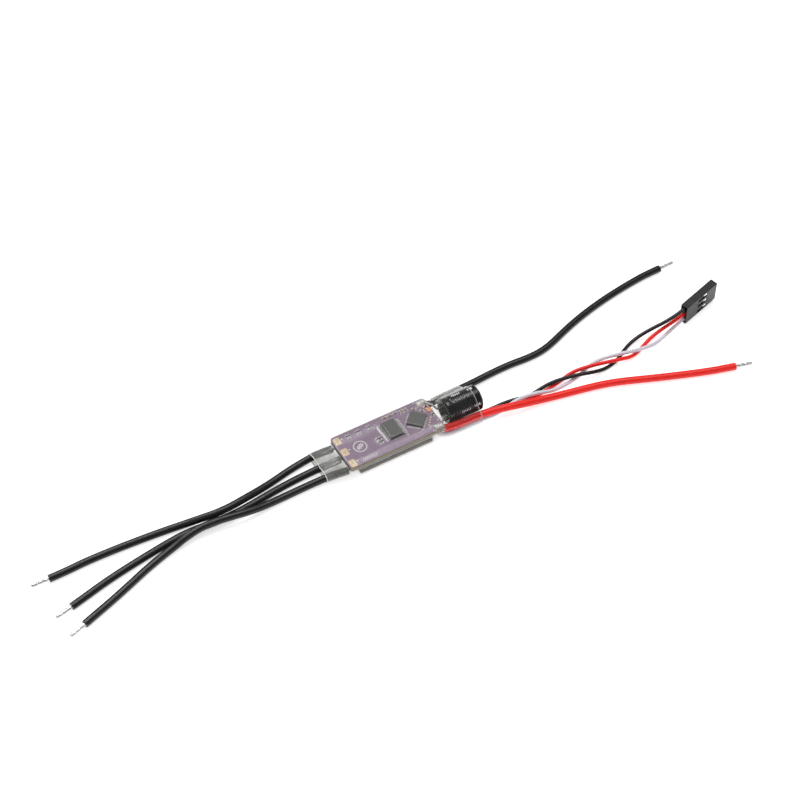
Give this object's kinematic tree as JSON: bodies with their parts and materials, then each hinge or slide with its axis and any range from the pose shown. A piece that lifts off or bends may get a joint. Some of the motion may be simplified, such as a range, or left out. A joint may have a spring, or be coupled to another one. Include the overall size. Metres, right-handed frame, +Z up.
{
  "type": "electronic speed controller",
  "caption": "Brushless-motor speed controller: purple circuit board and capacitor in a clear shrink sleeve, with motor wires, battery wires and a servo lead with plug.",
  "frame": {"origin": "on the flat underside of the sleeve, below the middle of the circuit board", "axes": "+X along the board from the motor wires towards the battery wires and the servo lead, +Y across the board towards the black battery wire, +Z up, out of the board's component side"},
  "size_m": [0.2312, 0.0495, 0.0087],
  "materials": {
    "clear_film": "clear, slightly milky, glossy",
    "solder_mask_purple": "satin",
    "gold_plate": "satin",
    "solder": "bright, uneven",
    "chip_black": "matte",
    "resistor_black": "satin",
    "ceramic_tan": "satin",
    "led_orange": "satin",
    "led_lens": "glossy",
    "gap_pad_grey": "matte",
    "anodised_plate": "satin",
    "can_aluminium": "satin",
    "capacitor_film_black": "glossy",
    "bung_rubber": "matte",
    "winding": "matte",
    "silicone_black": "soft sheen",
    "silicone_red": "soft sheen",
    "signal_white": "soft sheen",
    "tinned_copper": "bright",
    "plug_grey": "matte",
    "terminal_brass": "bright, tinned",
    "print_white": "printed ink"
  },
  "bodies": {
    "root": {"circuit_board": "solder_mask_purple", "motor_pads": "gold_plate", "battery_pads": "gold_plate", "signal_pads": "gold_plate", "gate_driver": "chip_black", "gate_driver_leads": "solder", "microcontroller": "chip_black", "chip_lands": "solder", "test_pads": "gold_plate", "chip_resistors": "resistor_black", "ceramic_capacitors": "ceramic_tan", "resistor_end_caps": "solder", "ceramic_end_caps": "solder", "small_part_lands": "solder", "status_led": "led_orange", "status_led_lens": "led_lens", "mosfet_1": "chip_black", "mosfet_2": "chip_black", "mosfet_3": "chip_black", "mosfet_4": "chip_black", "mosfet_5": "chip_black", "mosfet_6": "chip_black", "supply_inductor": "chip_black", "supply_regulator": "chip_black", "thermal_pad": "gap_pad_grey", "heat_plate": "anodised_plate", "capacitor_can": "can_aluminium", "capacitor_sleeve": "capacitor_film_black", "capacitor_bung": "bung_rubber", "capacitor_winding": "winding", "capacitor_lead_far": "tinned_copper", "capacitor_lead_near": "tinned_copper", "motor_wire_far": "silicone_black", "motor_wire_middle": "silicone_black", "motor_wire_near": "silicone_black", "battery_wire_black": "silicone_black", "battery_wire_red": "silicone_red", "signal_wire_white": "signal_white", "signal_wire_red": "silicone_red", "signal_wire_black": "silicone_black", "motor_wire_far_tip": "tinned_copper", "motor_wire_middle_tip": "tinned_copper", "motor_wire_near_tip": "tinned_copper", "battery_wire_black_tip": "tinned_copper", "battery_wire_red_tip": "tinned_copper", "motor_conductors": "tinned_copper", "battery_conductors": "tinned_copper", "signal_conductors": "tinned_copper", "solder_underside": "solder", "solder_top": "solder", "connector_housing": "plug_grey", "connector_terminal_1": "terminal_brass", "connector_terminal_2": "terminal_brass", "connector_terminal_3": "terminal_brass", "heat_shrink_sleeve": "clear_film"}
  },
  "joints": []
}
